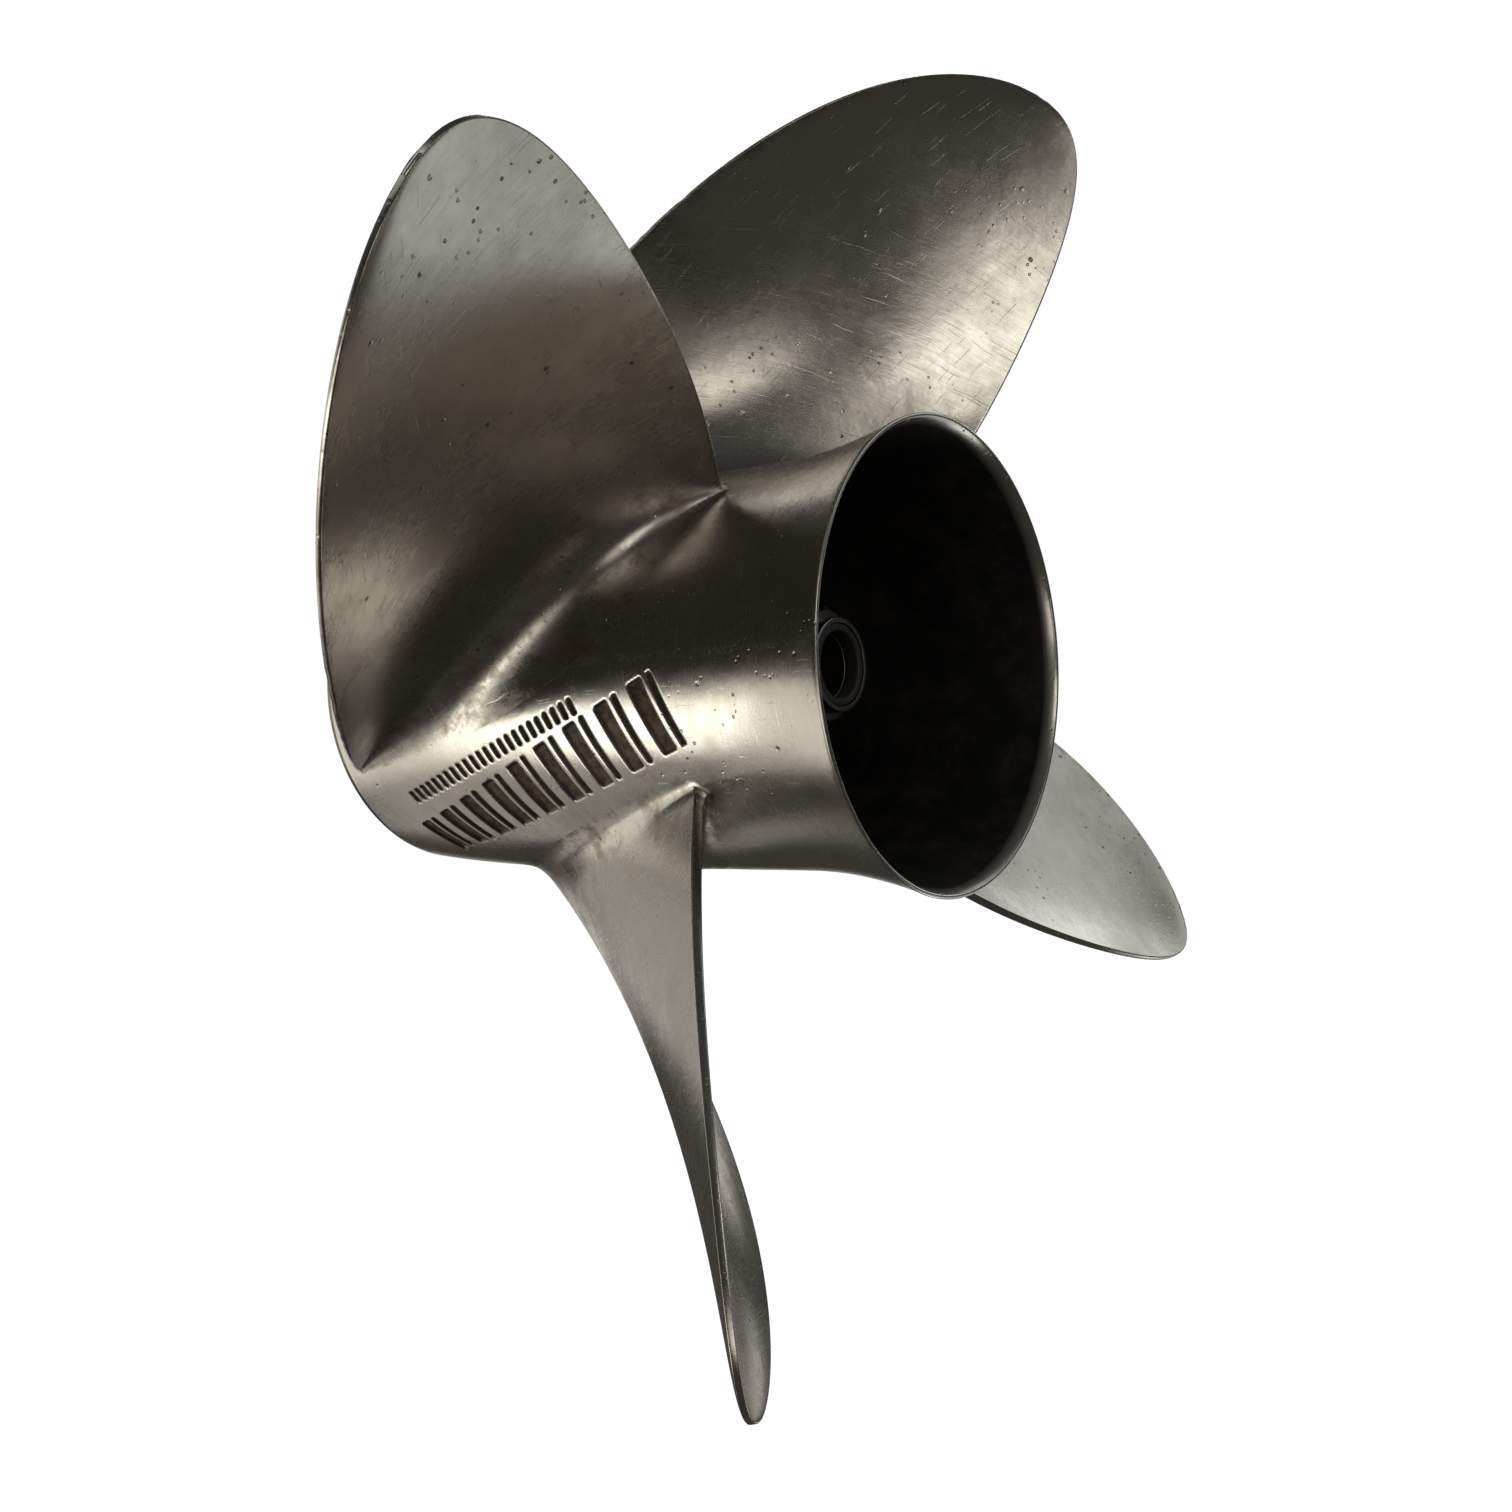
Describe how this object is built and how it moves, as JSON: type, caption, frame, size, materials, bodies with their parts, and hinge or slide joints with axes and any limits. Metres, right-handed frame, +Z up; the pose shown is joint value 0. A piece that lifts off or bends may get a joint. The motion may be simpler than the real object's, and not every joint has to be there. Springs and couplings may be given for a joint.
{
  "type": "boat propeller with hub kit",
  "caption": "Left-hand metal boat propeller with broad raked blades on an open exhaust barrel, with its splined hub kit and nut.",
  "frame": {"origin": "on the shaft axis, level with the place where the blades' reference line meets the barrel", "axes": "+X aft along the shaft axis, +Z up, with the blades turned as they stand when the first blade's root is 167.4 degrees about +X from +Y"},
  "size_m": [0.1822, 0.3552, 0.3552],
  "materials": {
    "cast_steel": "satin, hand polished, with fine scratches and small pits",
    "turned_steel": "turned",
    "brass": "machined",
    "composite": "moulded, matte",
    "nylon": "moulded"
  },
  "bodies": {
    "shaft_side": {"splined_adapter": "brass", "thrust_hub": "turned_steel", "rear_thrust_washer": "turned_steel"},
    "propeller": {"barrel": "cast_steel", "inner_hub": "cast_steel", "hub_rib_1": "cast_steel", "hub_rib_2": "cast_steel", "hub_rib_3": "cast_steel", "hub_rib_4": "cast_steel", "blade_1": "cast_steel", "blade_2": "cast_steel", "blade_3": "cast_steel", "blade_4": "cast_steel", "drive_sleeve": "composite"},
    "washer": {"tab_washer": "turned_steel"},
    "nut": {"prop_nut": "turned_steel", "nut_insert": "nylon"}
  },
  "joints": [
    {"name": "hub_twist", "type": "hinge", "parent": "shaft_side", "child": "propeller", "pos_m": [0, 0, 0], "axis": [1, 0, 0], "range_deg": [-5, 5], "stiffness_Nm_per_rad": 300},
    {"name": "washer_slide", "type": "slide", "parent": "shaft_side", "child": "washer", "axis": [1, 0, 0], "range_m": [0, 0.0159]},
    {"name": "nut_turn", "type": "hinge", "parent": "washer", "child": "nut", "pos_m": [0.057, 0, 0], "axis": [1, 0, 0], "range_deg": [0, 3600]}
  ],
  "couplings": [
    {"joint": "washer_slide", "follows": "nut_turn", "m_per_rad": 0.00025266}
  ]
}
